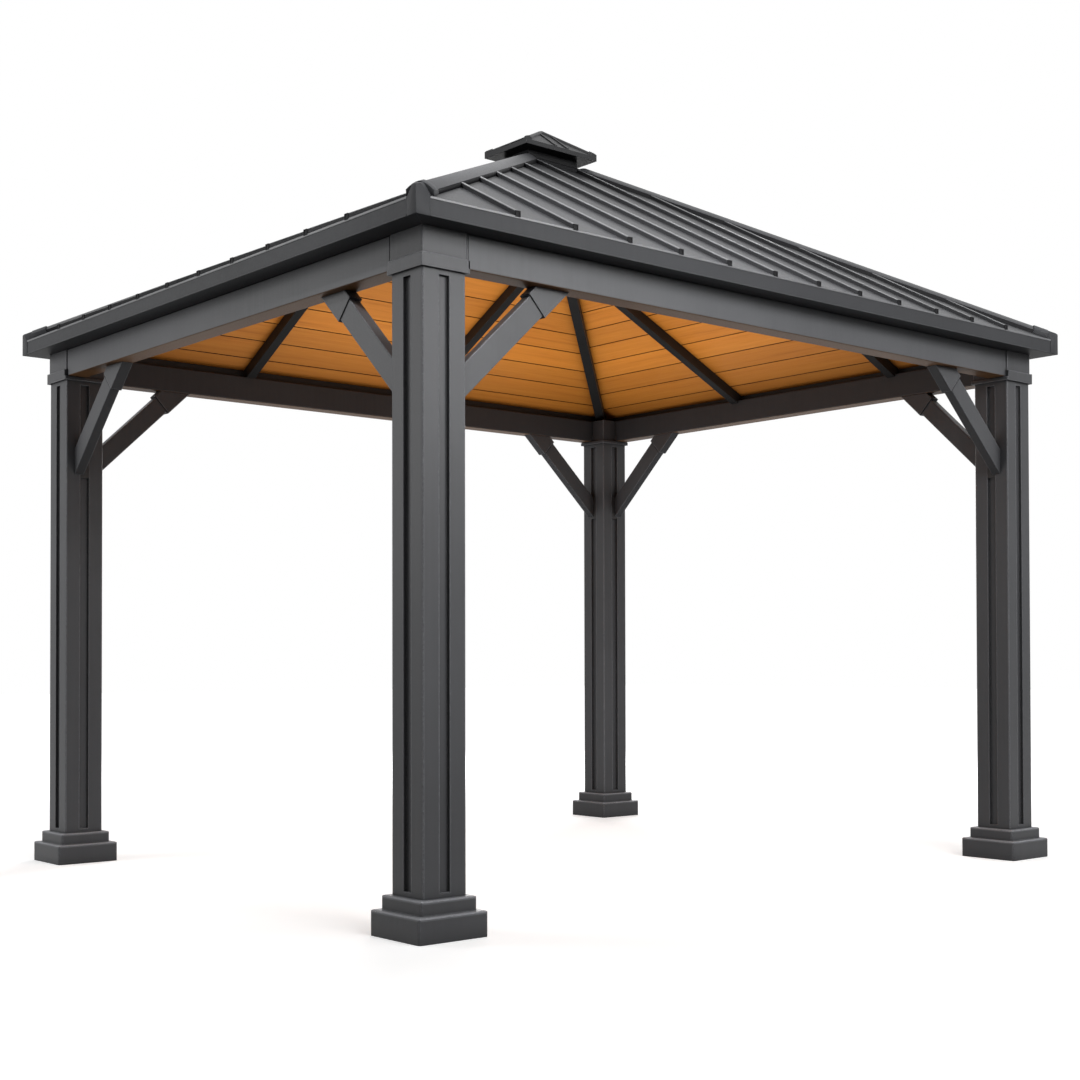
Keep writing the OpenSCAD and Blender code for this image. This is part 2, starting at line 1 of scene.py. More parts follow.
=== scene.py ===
import json
import math
import bpy
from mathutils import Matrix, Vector

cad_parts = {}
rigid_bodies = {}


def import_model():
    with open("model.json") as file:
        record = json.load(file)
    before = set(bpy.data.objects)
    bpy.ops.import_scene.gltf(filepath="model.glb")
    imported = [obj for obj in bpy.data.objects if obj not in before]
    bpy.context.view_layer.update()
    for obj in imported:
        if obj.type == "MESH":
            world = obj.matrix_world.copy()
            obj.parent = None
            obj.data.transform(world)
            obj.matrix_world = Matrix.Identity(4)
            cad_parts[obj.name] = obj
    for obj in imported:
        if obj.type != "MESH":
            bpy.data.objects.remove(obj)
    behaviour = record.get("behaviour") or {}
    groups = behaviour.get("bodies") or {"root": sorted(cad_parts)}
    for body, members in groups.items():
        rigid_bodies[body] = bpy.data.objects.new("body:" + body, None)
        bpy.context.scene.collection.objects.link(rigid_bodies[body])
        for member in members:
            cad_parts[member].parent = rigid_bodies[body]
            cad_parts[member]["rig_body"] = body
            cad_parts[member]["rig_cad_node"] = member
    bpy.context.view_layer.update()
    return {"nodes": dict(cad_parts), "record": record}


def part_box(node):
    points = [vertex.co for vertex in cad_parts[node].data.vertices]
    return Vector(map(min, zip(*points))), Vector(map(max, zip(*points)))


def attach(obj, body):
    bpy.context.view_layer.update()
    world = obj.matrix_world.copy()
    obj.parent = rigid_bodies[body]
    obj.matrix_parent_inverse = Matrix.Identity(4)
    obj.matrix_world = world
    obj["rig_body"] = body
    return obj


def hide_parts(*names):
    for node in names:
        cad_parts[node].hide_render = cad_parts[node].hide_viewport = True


# Metal gazebo: charcoal coated frame, standing-seam roof and a timber-look ceiling
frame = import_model()
nodes = frame["nodes"]
sides = ("front", "back", "left", "right")
inward = {"front": (0, 1, 0), "back": (0, -1, 0), "left": (1, 0, 0), "right": (-1, 0, 0)}
# distances that count as touching, and how nearly a face has to look one way
near = {
    "merge": 0.00005, "flush": 0.0002, "eave": 0.0005, "flatAngle": 0.5,
    "mostly": 0.5, "facing": 0.9, "parallel": 0.99,
}
print("frame loaded:", len(nodes), "nodes")


# Small helpers for selecting, for plain blocks and for wiring materials
def deselectAll():
    if bpy.context.object and bpy.context.object.mode != "OBJECT":
        bpy.ops.object.mode_set(mode="OBJECT")
    bpy.ops.object.select_all(action="DESELECT")


def pickUp(piece):
    deselectAll()
    piece.select_set(True)
    bpy.context.view_layer.objects.active = piece


def selectOnly(mesh, edges=(), faces=()):
    for part in (mesh.vertices, mesh.edges, mesh.polygons):
        part.foreach_set("select", [False] * len(part))
    for index in edges:
        mesh.edges[index].select = True
    for index in faces:
        mesh.polygons[index].select = True
    # edit mode keeps only what its select mode can hold
    bpy.context.tool_settings.mesh_select_mode = (False, not faces, bool(faces))


def facesTowards(mesh, direction):
    return [face.index for face in mesh.polygons if face.normal.dot(direction) > near["facing"]]


# The way into the room from one side, the line along that side and the line through it
def sideAxes(side):
    run = Vector(inward[side])
    return run, Vector((abs(run.y), abs(run.x), 0)), Vector((abs(run.x), abs(run.y), 0))


def addBlock(name, centre, size):
    deselectAll()
    bpy.ops.mesh.primitive_cube_add(size=1, location=centre)
    block = bpy.context.object
    block.name = name
    block.scale = size
    bpy.ops.object.transform_apply(location=True, rotation=True, scale=True)
    return block


def joinPieces(pieces, name):
    pickUp(pieces[0])
    for piece in pieces:
        piece.select_set(True)
    if len(pieces) > 1:
        bpy.ops.object.join()
    joined = bpy.context.view_layer.objects.active
    joined.name = name
    joined.data.name = name
    return joined


def copyPiece(piece, name):
    twin = piece.copy()
    twin.data = piece.data.copy()
    twin.name = name
    twin.data.name = name
    bpy.context.scene.collection.objects.link(twin)
    twin.parent = None
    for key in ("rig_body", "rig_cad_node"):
        if key in twin:
            del twin[key]
    pickUp(twin)
    bpy.ops.mesh.customdata_custom_splitnormals_clear()  # the stored normals don't fit new faces
    bpy.ops.object.mode_set(mode="EDIT")
    bpy.ops.mesh.select_all(action="SELECT")
    bpy.ops.mesh.remove_doubles(threshold=near["merge"])
    bpy.ops.mesh.dissolve_limited(angle_limit=math.radians(near["flatAngle"]))
    bpy.ops.object.mode_set(mode="OBJECT")
    return twin


def keepFaces(piece, wanted):
    selectOnly(piece.data, faces=[face.index for face in piece.data.polygons if not wanted(face)])
    bpy.ops.object.mode_set(mode="EDIT")
    bpy.ops.mesh.delete(type="FACE")
    bpy.ops.object.mode_set(mode="OBJECT")


def coatPiece(piece, finish):
    piece.data.materials.clear()
    piece.data.materials.append(finish)


def newFinish(name):
    finish = bpy.data.materials.new(name)
    finish.use_nodes = True
    tree = finish.node_tree
    return finish, tree, tree.nodes["Principled BSDF"]


def addNode(tree, kind, inputs=None, **settings):
    node = tree.nodes.new(kind)
    for key, value in settings.items():
        setattr(node, key, value)
    for key, value in (inputs or {}).items():
        node.inputs[key].default_value = value
    return node


# Mixes two colours, each a tuple or another node's output, by a number or an output
def mixColour(tree, factor, first, second, blend="MIX"):
    mix = addNode(tree, "ShaderNodeMix", data_type="RGBA", blend_type=blend)
    sockets = (mix.inputs[0], mix.inputs[6], mix.inputs[7])  # the factor and the two colours
    for socket, source in zip(sockets, (factor, first, second)):
        if isinstance(source, (int, float)):
            socket.default_value = source
        elif isinstance(source, tuple):
            socket.default_value = (*source, 1)
        else:
            tree.links.new(source, socket)
    return mix.outputs[2]


def mapRange(tree, value, low, high, outLow, outHigh):
    node = addNode(tree, "ShaderNodeMapRange",
                   {"From Min": low, "From Max": high, "To Min": outLow, "To Max": outHigh})
    tree.links.new(value, node.inputs["Value"])
    return node.outputs["Result"]


def noiseOf(tree, coords, scale, detail, roughness):
    node = addNode(tree, "ShaderNodeTexNoise", {"Scale": scale, "Detail": detail, "Roughness": roughness})
    tree.links.new(coords, node.inputs["Vector"])
    return node.outputs["Fac"]


def axesOf(tree, vector):
    node = addNode(tree, "ShaderNodeSeparateXYZ")
    tree.links.new(vector, node.inputs[0])
    return node.outputs


def dotOf(tree, first, second):
    node = addNode(tree, "ShaderNodeVectorMath", operation="DOT_PRODUCT")
    tree.links.new(first, node.inputs[0])
    tree.links.new(second, node.inputs[1])
    return node.outputs["Value"]


def timesGrey(tree, colour, value):
    grey = addNode(tree, "ShaderNodeCombineColor")
    for socket in grey.inputs[:3]:
        tree.links.new(value, socket)
    return mixColour(tree, 1.0, colour, grey.outputs[0], "MULTIPLY")


# Satin powder coat: fine peel, cloudy tone, painted shade in corners and on undersides, painted light on
# tops, and edges lightened as wear and as a painted highlight
# a noise is its scale, detail and roughness, and a span is the part of a value that counts
coatLook = {
    "clouds": (1.7, 5, 0.55), "cloudSpan": (0.3, 0.7),
    "streaks": (3.0, 4, 0.6), "streakStretch": (20, 20, 0.8), "streakSpan": (0.35, 0.75), "streakMix": 0.5,
    "specks": (180, 3, 0.6), "speckSpan": (0.3, 0.7), "speckRough": (-0.06, 0.07),
    "peel": (620, 2, 0.5), "peelDepth": 0.0005, "peelStrength": 0.1,
    "edgeRadius": 0.003, "edgeTurn": (0.995, 0.9), "edgeMix": 0.8, "edgeLift": 2.8, "edgePale": 0.01,
    "edgeBreak": (0.35, 0.6), "edgeLeast": 0.35,
    "cornerReach": 0.06, "cornerSpan": (0.25, 0.95), "cornerShade": 0.65,
    "underSpan": (-0.1, -0.9), "topSpan": (0.1, 0.9), "roomSpan": (-0.3, -0.9),
    "underShade": (0.5, 0.5, 0.5), "topLight": (1.5, 1.5, 1.5), "crownShade": (0.5, 0.5, 0.5),
    "underSheen": 0.03, "sheenSpan": (-0.8, -0.1),
}


def powderCoat(name, colour, roughness=0.46, cloud=0.16, shade=1.0, sheen=0.25,
               edge=coatLook["edgeRadius"], lift=coatLook["edgeLift"],
               under=coatLook["underShade"], top=coatLook["topLight"], room=None, crown=None):
    finish, tree, shader = newFinish(name)
    coords = addNode(tree, "ShaderNodeTexCoord").outputs["Object"]
    normal = addNode(tree, "ShaderNodeNewGeometry").outputs["Normal"]
    stretch = addNode(tree, "ShaderNodeMapping", {"Scale": coatLook["streakStretch"]})
    tree.links.new(coords, stretch.inputs["Vector"])
    clouds = noiseOf(tree, coords, *coatLook["clouds"])
    streaks = noiseOf(tree, stretch.outputs["Vector"], *coatLook["streaks"])
    specks = noiseOf(tree, coords, *coatLook["specks"])
    lighter = tuple(c * (1 + cloud) for c in colour)
    darker = tuple(c * (1 - cloud) for c in colour)
    tone = mixColour(tree, mapRange(tree, clouds, *coatLook["cloudSpan"], 0, 1), darker, lighter)
    streak = mapRange(tree, streaks, *coatLook["streakSpan"], 0, coatLook["streakMix"])
    tone = mixColour(tree, streak, tone, lighter)
    # edges lightened as wear and as a painted highlight, found where a rounded normal leaves the face's own
    rounded = addNode(tree, "ShaderNodeBevel", {"Radius": edge}, samples=4)
    turn = dotOf(tree, rounded.outputs["Normal"], normal)
    broken = addNode(tree, "ShaderNodeMath", operation="MULTIPLY")
    tree.links.new(mapRange(tree, turn, *coatLook["edgeTurn"], 0, coatLook["edgeMix"]), broken.inputs[0])
    worn = mapRange(tree, specks, *coatLook["edgeBreak"], coatLook["edgeLeast"], 1)
    tree.links.new(worn, broken.inputs[1])
    rubbedAndHighlit = tuple(c * lift + coatLook["edgePale"] for c in colour)
    tone = mixColour(tree, broken.outputs[0], tone, rubbedAndHighlit)
    # painted shade: inner corners are darkened by an ambient-occlusion mask
    corner = addNode(tree, "ShaderNodeAmbientOcclusion", {"Distance": coatLook["cornerReach"]}, samples=5)
    dark = tuple(c * (1 - coatLook["cornerShade"] * shade) for c in colour)
    clear = mapRange(tree, corner.outputs["AO"], *coatLook["cornerSpan"], 0, 1)
    tone = mixColour(tree, clear, dark, tone)
    # painted shade on undersides and painted light on tops, by which way the face looks
    facing = axesOf(tree, normal)["Z"]
    below = mapRange(tree, facing, *coatLook["underSpan"], 0, 1)
    tone = mixColour(tree, below, tone, under, "MULTIPLY")
    above = mapRange(tree, facing, *coatLook["topSpan"], 0, 1)
    tone = mixColour(tree, above, tone, top, "MULTIPLY")
    # painted shade on the sides that face the room
    if room:  # so do sides that face the room
        level = addNode(tree, "ShaderNodeVectorMath", operation="MULTIPLY")
        tree.links.new(coords, level.inputs[0])
        level.inputs[1].default_value = (1, 1, 0)  # drops the height
        outward = dotOf(tree, level.outputs["Vector"], normal)
        tone = mixColour(tree, mapRange(tree, outward, *coatLook["roomSpan"], 0, 1), tone, room, "MULTIPLY")
    # painted shade, darker from the eave up to the vent
    if crown:  # the sheet grows darker from the eave up to the vent
        rise = mapRange(tree, axesOf(tree, coords)["Z"], *crown, 0, 1)
        tone = mixColour(tree, rise, tone, coatLook["crownShade"], "MULTIPLY")
    tree.links.new(tone, shader.inputs["Base Color"])
    rough = [roughness + change for change in coatLook["speckRough"]]
    tree.links.new(mapRange(tree, specks, *coatLook["speckSpan"], *rough), shader.inputs["Roughness"])
    peel = addNode(tree, "ShaderNodeBump",
                   {"Strength": coatLook["peelStrength"], "Distance": coatLook["peelDepth"]})
    tree.links.new(noiseOf(tree, coords, *coatLook["peel"]), peel.inputs["Height"])
    tree.links.new(rounded.outputs["Normal"], peel.inputs["Normal"])
    tree.links.new(peel.outputs["Normal"], shader.inputs["Normal"])
    shader.inputs["Specular IOR Level"].default_value = sheen
    tree.links.new(mapRange(tree, facing, *coatLook["sheenSpan"], coatLook["underSheen"], sheen),
                   shader.inputs["Specular IOR Level"])
    return finish


# Plain finish for thin trim: one tone with a little unevenness
trimLook = {"uneven": (24, 4, 0.6), "unevenSpan": (0.3, 0.7), "toneSpread": 0.15, "roughSpread": 0.05}


def trimFinish(name, colour, roughness, sheen):
    finish, tree, shader = newFinish(name)
    coords = addNode(tree, "ShaderNodeTexCoord").outputs["Object"]
    uneven = noiseOf(tree, coords, *trimLook["uneven"])
    darker = tuple(c * (1 - trimLook["toneSpread"]) for c in colour)
    lighter = tuple(c * (1 + trimLook["toneSpread"]) for c in colour)
    tone = mixColour(tree, mapRange(tree, uneven, *trimLook["unevenSpan"], 0, 1), darker, lighter)
    tree.links.new(tone, shader.inputs["Base Color"])
    rough = (roughness - trimLook["roughSpread"], roughness + trimLook["roughSpread"])
    tree.links.new(mapRange(tree, uneven, *trimLook["unevenSpan"], *rough), shader.inputs["Roughness"])
    shader.inputs["Specular IOR Level"].default_value = sheen
    return finish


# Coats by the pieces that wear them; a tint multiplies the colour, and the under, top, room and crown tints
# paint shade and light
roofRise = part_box("roof_front")[0].z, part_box("roof_front")[1].z
coats = {
    # the frame's top tint is painted light on its ledges, and its wide strong edge lift a painted highlight
    "frame": {"colour": (0.056, 0.057, 0.061), "top": (3.6, 3.6, 3.6), "edge": 0.007, "lift": 4.5},
    "dark": {"colour": (0.026, 0.025, 0.025), "roughness": 0.5},
    # the roof's crown tint is painted shade towards the vent
    "roof": {"colour": (0.031, 0.0316, 0.0339), "roughness": 0.4, "cloud": 0.2, "shade": 0.85,
             "sheen": 0.16, "crown": roofRise},
    "hip": {"colour": (0.04, 0.0408, 0.0438), "roughness": 0.4, "cloud": 0.2, "shade": 0.5},
    # the beam's brown under tint paints shade and a reflection of the timber on its undersides; its room
    # tint paints shade
    "beam": {"colour": (0.07, 0.0712, 0.0762), "under": (0.98, 0.48, 0.19), "room": (0.5, 0.51, 0.52)},
    "vent": {"colour": (0.02, 0.0204, 0.0219), "roughness": 0.44, "cloud": 0.2},
    "fascia": {"colour": (0.036, 0.037, 0.04), "roughness": 0.5, "cloud": 0.14, "sheen": 0.14},
}
coatOf = {name: powderCoat(name + "_coat", **row) for name, row in coats.items()}
# far lighter than the roof coat: a painted highlight on the seam tops and the eave hems
seamHighlightCoat = trimFinish("seam_highlight_coat", (0.13, 0.132, 0.138), roughness=0.34, sheen=0.4)
# near-black for the seam plugs, and for the liners that paint shade
plugAndShadeBlack = trimFinish("plug_and_shade_black", (0.007, 0.007, 0.008), roughness=0.6, sheen=0.12)
slotCoat = {"frame_metal": "frame", "frame_dark": "dark", "roof_metal": "roof"}
for row in frame["record"]["subparts"]:
    if row["material_slot"] in slotCoat:
        coatPiece(nodes[row["node"]], coatOf[slotCoat[row["material_slot"]]])
for side in sides:
    coatPiece(nodes["fascia_" + side], coatOf["fascia"])
    coatPiece(nodes["beam_" + side], coatOf["beam"])
coatPiece(nodes["vent_cap"], coatOf["vent"])
print("coats:", len(coatOf))


# Honey lining boards: long soft grain, a tone of its own for each board
boardLook = {
    "width": 0.137, "gap": 0.0034, "chamfer": 0.0015, "steps": 2, "grooveShade": 0.22, "grooveTurn": 0.2,
    "pale": (0.74, 0.275, 0.034), "mid": (0.64, 0.215, 0.024), "deep": (0.37, 0.102, 0.01),
    "grain": (1.0, 7, 0.62), "grainStretch": (1.1, 34), "grainShift": (37, 23, 11),
    "fibre": (1.0, 3, 0.6), "fibreStretch": (9, 420), "fibreDepth": 0.0012, "fibreStrength": 0.22,
    "sweep": (1.0, 3, 0.5), "sweepStretch": (0.5, 5),
    "midSpan": (0.34, 0.68), "midMix": 1, "deepSpan": (0.58, 0.8), "deepMix": 0.55,
    "fibreSpan": (0.5, 0.8), "fibreMix": 0.3, "sweepSpan": (0.35, 0.7), "sweepMix": 0.35,
    "tones": (0.88, 1.06), "toneStep": 0.618034, "firstBoard": 3, "sideStep": 5,
    "cornerReach": 0.3, "cornerSpan": (0.35, 0.95), "cornerShadeLevel": 0.6, "eaveReach": 0.2, "eaveShadeLevel": 0.55,
    "roughSpan": (0.3, 0.7), "roughness": (0.48, 0.62), "sheen": 0.15,
}
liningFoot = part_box("ledgers")[1].z


def boardFinish(name, alongX):
    finish, tree, shader = newFinish(name)
    coords = addNode(tree, "ShaderNodeTexCoord").outputs["Object"]
    tone = addNode(tree, "ShaderNodeAttribute", attribute_name="boardTone").outputs["Fac"]
    groove = addNode(tree, "ShaderNodeAttribute", attribute_name="grooveShade").outputs["Fac"]
    shift = addNode(tree, "ShaderNodeVectorMath", operation="MULTIPLY_ADD")  # moves the grain on each board
    tree.links.new(tone, shift.inputs[0])
    shift.inputs[1].default_value = boardLook["grainShift"]
    tree.links.new(coords, shift.inputs[2])

    def streaksOf(kind):
        along, across = boardLook[kind + "Stretch"]
        scale = (along, across, across) if alongX else (across, along, across)
        mapping = addNode(tree, "ShaderNodeMapping", {"Scale": scale})
        tree.links.new(shift.outputs["Vector"], mapping.inputs["Vector"])
        return noiseOf(tree, mapping.outputs["Vector"], *boardLook[kind])

    grain, fibre, sweep = streaksOf("grain"), streaksOf("fibre"), streaksOf("sweep")
    colour = boardLook["pale"]
    layers = ((grain, "mid", "mid"), (grain, "deep", "deep"),
              (fibre, "fibre", "deep"), (sweep, "sweep", "mid"))
    for streak, layer, deeper in layers:  # a noise, the span and mix that it takes, and a colour
        amount = mapRange(tree, streak, *boardLook[layer + "Span"], 0, boardLook[layer + "Mix"])
        colour = mixColour(tree, amount, colour, boardLook[deeper])
    colour = timesGrey(tree, colour, mapRange(tree, tone, 0, 1, *boardLook["tones"]))
    # painted shade in the grooves
    colour = timesGrey(tree, colour, groove)
    # painted shade: boards darken beside the beams and rafters by an ambient-occlusion mask, and down
    # towards the ledgers
    corner = addNode(tree, "ShaderNodeAmbientOcclusion", {"Distance": boardLook["cornerReach"]}, samples=6)
    depth = mapRange(tree, corner.outputs["AO"], *boardLook["cornerSpan"], boardLook["cornerShadeLevel"], 1)
    colour = timesGrey(tree, colour, depth)
    eaveSpan = (liningFoot, liningFoot + boardLook["eaveReach"])
    eave = mapRange(tree, axesOf(tree, coords)["Z"], *eaveSpan, boardLook["eaveShadeLevel"], 1)
    colour = timesGrey(tree, colour, eave)
    tree.links.new(colour, shader.inputs["Base Color"])
    rough = mapRange(tree, fibre, *boardLook["roughSpan"], *boardLook["roughness"])
    tree.links.new(rough, shader.inputs["Roughness"])
    shader.inputs["Specular IOR Level"].default_value = boardLook["sheen"]
    bump = addNode(tree, "ShaderNodeBump",
                   {"Strength": boardLook["fibreStrength"], "Distance": boardLook["fibreDepth"]})
    tree.links.new(fibre, bump.inputs["Height"])
    tree.links.new(bump.outputs["Normal"], shader.inputs["Normal"])
    return finish


def lowerFace(mesh):
    downward = [face for face in mesh.polygons if face.normal.z < -near["mostly"]]
    return max(downward, key=lambda face: face.area)


def markFaces(mesh, name, values):
    mesh.attributes.new(name, "FLOAT", "FACE").data.foreach_set("value", values)


def cutBoard(slab, name, upSlope, low, high, tone):
    board = copyPiece(slab, name)
    bpy.ops.object.mode_set(mode="EDIT")
    for distance, cutsOuter in ((low, False), (high, True)):
        bpy.ops.mesh.select_all(action="SELECT")
        bpy.ops.mesh.bisect(plane_co=upSlope * distance, plane_no=upSlope, use_fill=True,
                            clear_outer=cutsOuter, clear_inner=not cutsOuter)
    bpy.ops.object.mode_set(mode="OBJECT")
    mesh = board.data
    if not mesh.polygons:
        bpy.data.objects.remove(board)
        return None
    face = lowerFace(mesh)
    bottom, normal = face.center.copy(), face.normal.copy()
    # the two long edges that show from below are chamfered
    edges = []
    for edge in mesh.edges:
        ends = [mesh.vertices[index].co for index in edge.vertices]
        below = all(abs((end - bottom).dot(normal)) < near["flush"] for end in ends)
        cuts = [all(abs(end.dot(upSlope) - limit) < near["flush"] for end in ends) for limit in (low, high)]
        if below and any(cuts):
            edges.append(edge.index)
    selectOnly(mesh, edges=edges)
    bpy.ops.object.mode_set(mode="EDIT")
    if edges:
        bpy.ops.mesh.bevel(offset=boardLook["chamfer"], segments=boardLook["steps"], affect="EDGES")
    bpy.ops.mesh.select_all(action="SELECT")
    bpy.ops.mesh.normals_make_consistent(inside=False)
    bpy.ops.object.mode_set(mode="OBJECT")
    # painted shade in the grooves: their chamfer faces are darkened
    inGroove = [abs(face.normal.dot(upSlope)) > boardLook["grooveTurn"] for face in mesh.polygons]
    markFaces(mesh, "boardTone", [tone] * len(mesh.polygons))
    markFaces(mesh, "grooveShade", [boardLook["grooveShade"] if dark else 1.0 for dark in inGroove])
    return board


def lineSlope(side, seed):
    slab = nodes["ceiling_" + side]
    normal = lowerFace(slab.data).normal.copy()
    run = Vector(inward[side])
    upSlope = (run - run.dot(normal) * normal).normalized()
    reach = [vertex.co.dot(upSlope) for vertex in slab.data.vertices]
    low, high = min(reach), max(reach)
    boards = []
    for index in range(math.ceil((high - low) / boardLook["width"])):
        start = low + index * boardLook["width"] + boardLook["gap"] / 2
        end = min(start + boardLook["width"] - boardLook["gap"], high)
        tone = (index + seed) * boardLook["toneStep"] % 1.0
        board = cutBoard(slab, f"board_{side}_{index}", upSlope, start, end, tone)
        if board:
            boards.append(board)
    lining = joinPieces(boards, "ceiling_boards_" + side)
    coatPiece(lining, boardsAlongX if run.y else boardsAlongY)
    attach(lining, "root")
    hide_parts("ceiling_" + side)
    return len(boards)


boardsAlongX = boardFinish("boards_along_x", True)
boardsAlongY = boardFinish("boards_along_y", False)
seeds = [boardLook["firstBoard"] + boardLook["sideStep"] * index for index in range(len(sides))]
boardCount = sum(lineSlope(side, seed) for side, seed in zip(sides, seeds))
print("ceiling boards:", boardCount)


# Folded hems along the top and the foot of the fascia, between the corner hoods
hemLook = {
    "topHeight": 0.006, "topRise": 0.0015, "footHeight": 0.005, "proud": 0.002, "tuck": 0.001,
    "round": 0.0009, "steps": 3,
    "hoodReach": {"front": 0.0555, "back": 0.0555, "left": 0.049, "right": 0.049},
}


def foldHem(name, side, low, high, finish):
    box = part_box("fascia_" + side)
    run, along, through = sideAxes(side)
    outside = max(corner.dot(-run) for corner in box)
    half = max(corner.dot(along) for corner in box) - hemLook["hoodReach"][side]
    depth = hemLook["proud"] + hemLook["tuck"]
    centre = -run * (outside + hemLook["proud"] - depth / 2) + Vector((0, 0, (low + high) / 2))
    hem = addBlock(name, centre, along * (2 * half) + through * depth + Vector((0, 0, high - low)))
    selectOnly(hem.data, faces=facesTowards(hem.data, -run))
    bpy.ops.object.mode_set(mode="EDIT")
    bpy.ops.mesh.bevel(offset=hemLook["round"], segments=hemLook["steps"], affect="EDGES")
    bpy.ops.object.mode_set(mode="OBJECT")
    coatPiece(hem, finish)
    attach(hem, "root")


for side in sides:
    foot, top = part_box("fascia_" + side)
    # the top hem wears the lighter seam coat as a painted highlight
    foldHem("eave_hem_" + side, side, top.z - hemLook["topHeight"], top.z + hemLook["topRise"], seamHighlightCoat)
    foldHem("fascia_lip_" + side, side, foot.z, foot.z + hemLook["footHeight"], coatOf["fascia"])
print("hems folded:", 2 * len(sides))


# Small dark plugs that close the standing seams at the eave
plugLook = {"depth": 0.006, "overlap": 0.0014, "rim": 0.003, "recess": 0.002, "seamLeast": 0.012}


# Where each seam starts and ends along the eave, with the eave's place and the seams' foot and top
def seamEnds(side):
    corners = [vertex.co for vertex in nodes["roof_" + side].data.vertices]
    run, along = sideAxes(side)[:2]
    eave = max(corner.dot(-run) for corner in corners)
    foot = min(corner.z for corner in corners)
    tops = [corner for corner in corners
            if abs(corner.dot(-run) - eave) < near["eave"] and corner.z > foot + plugLook["seamLeast"]]
    stops = sorted({round(corner.dot(along), 4) for corner in tops})
    return list(zip(stops[::2], stops[1::2])), eave, foot, max(corner.z for corner in tops)


def plugSeams(side):
    seams, eave, foot, height = seamEnds(side)
    run, along, through = sideAxes(side)
    top = height + plugLook["overlap"]
    plugs = []
    for first, last in seams:
        size = along * (last - first + 2 * plugLook["overlap"]) + through * plugLook["depth"]
        centre = along * (first + last) / 2 - run * (eave + plugLook["depth"] / 2 - plugLook["overlap"])
        size.z, centre.z = top - foot, (top + foot) / 2
        plug = addBlock("plug", centre, size)
        selectOnly(plug.data, faces=facesTowards(plug.data, -run))
        bpy.ops.object.mode_set(mode="EDIT")
        bpy.ops.mesh.inset(thickness=plugLook["rim"])
        bpy.ops.mesh.extrude_region_move(TRANSFORM_OT_translate={"value": run * plugLook["recess"]})
        bpy.ops.object.mode_set(mode="OBJECT")
        plugs.append(plug)
    joined = joinPieces(plugs, "seam_ends_" + side)
    coatPiece(joined, plugAndShadeBlack)
    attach(joined, "root")
    return len(plugs)


print("seam ends:", sum(plugSeams(side) for side in sides))


# Thin rolled strip along the top of each standing seam, in a far lighter coat: a painted highlight on the
# seam tops
stripLook = {
    "seamLeast": 0.005, "lip": 0.0012, "drop": 0.0016, "proud": 0.0018, "round": 0.003, "steps": 3,
    "flatAngle": 1, "smoothAngle": 40,
}


def rollSeams(side):
    strip = copyPiece(nodes["roof_" + side], "seam_strips_" + side)
    mesh = strip.data
    upward = [face for face in mesh.polygons if face.normal.z > near["mostly"]]
    sheet = max(upward, key=lambda face: face.area)
    up = sheet.normal.copy()
    least = sheet.center.dot(up) + stripLook["seamLeast"]
    keepFaces(strip, lambda face: face.normal.dot(up) > near["parallel"] and face.center.dot(up) > least)
    # each seam's top is widened by the lip, sunk a little and raised again as a strip
    bpy.ops.object.mode_set(mode="EDIT")
    bpy.ops.mesh.select_mode(type="FACE")
    bpy.ops.mesh.select_all(action="SELECT")
    bpy.ops.mesh.inset(thickness=stripLook["lip"], use_outset=True)
    bpy.ops.mesh.select_all(action="SELECT")
    bpy.ops.mesh.dissolve_limited(angle_limit=math.radians(stripLook["flatAngle"]))
    bpy.ops.transform.translate(value=-up * stripLook["drop"])
    lift = up * (stripLook["drop"] + stripLook["proud"])
    bpy.ops.mesh.extrude_region_move(TRANSFORM_OT_translate={"value": lift})
    bpy.ops.mesh.select_all(action="SELECT")
    bpy.ops.mesh.normals_make_consistent(inside=False)
    bpy.ops.object.mode_set(mode="OBJECT")
    tops = [face for face in mesh.polygons if face.normal.dot(up) > near["parallel"]]
    rims = {key for face in tops for key in face.edge_keys}
    selectOnly(mesh, edges=[edge.index for edge in mesh.edges if edge.key in rims])
    bpy.ops.object.mode_set(mode="EDIT")
    bpy.ops.mesh.bevel(offset=stripLook["round"], segments=stripLook["steps"], affect="EDGES")
    bpy.ops.object.mode_set(mode="OBJECT")
    bpy.ops.object.shade_smooth_by_angle(angle=math.radians(stripLook["smoothAngle"]))
    coatPiece(strip, seamHighlightCoat)
    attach(strip, "root")
    return len(tops)


print("seam strips:", sum(rollSeams(side) for side in sides))


# Near-black liners that paint shade: rings in the socket mouths, and skins on the hip caps' hems and the
# flashing's outer edge
linerLook = {
    "socketShade": 0.0026, "shadeSkin": 0.001, "towardsPost": 0.3, "hemUpright": 0.05, "hemReach": (0.03, 0.05),
    "skirtOutward": 0.05,
}
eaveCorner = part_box("fascia_front")[1].x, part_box("fascia_left")[1].y


def lineFaces(node, name, wanted, thick):
    liner = copyPiece(nodes[node], name)
    keepFaces(liner, wanted)
    bpy.ops.object.mode_set(mode="EDIT")
    bpy.ops.mesh.select_mode(type="FACE")
    bpy.ops.mesh.select_all(action="SELECT")
    bpy.ops.mesh.extrude_region_shrink_fatten(TRANSFORM_OT_shrink_fatten={"value": thick})
    bpy.ops.mesh.select_all(action="SELECT")
    bpy.ops.mesh.normals_make_consistent(inside=False)
    bpy.ops.object.mode_set(mode="OBJECT")
    coatPiece(liner, plugAndShadeBlack)
    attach(liner, "root")
    return len(liner.data.polygons)


def isMouth(face):
    towardsPost = max(face.normal.x * face.center.x, face.normal.y * face.center.y)
    return face.normal.z < -near["mostly"] and towardsPost > linerLook["towardsPost"]


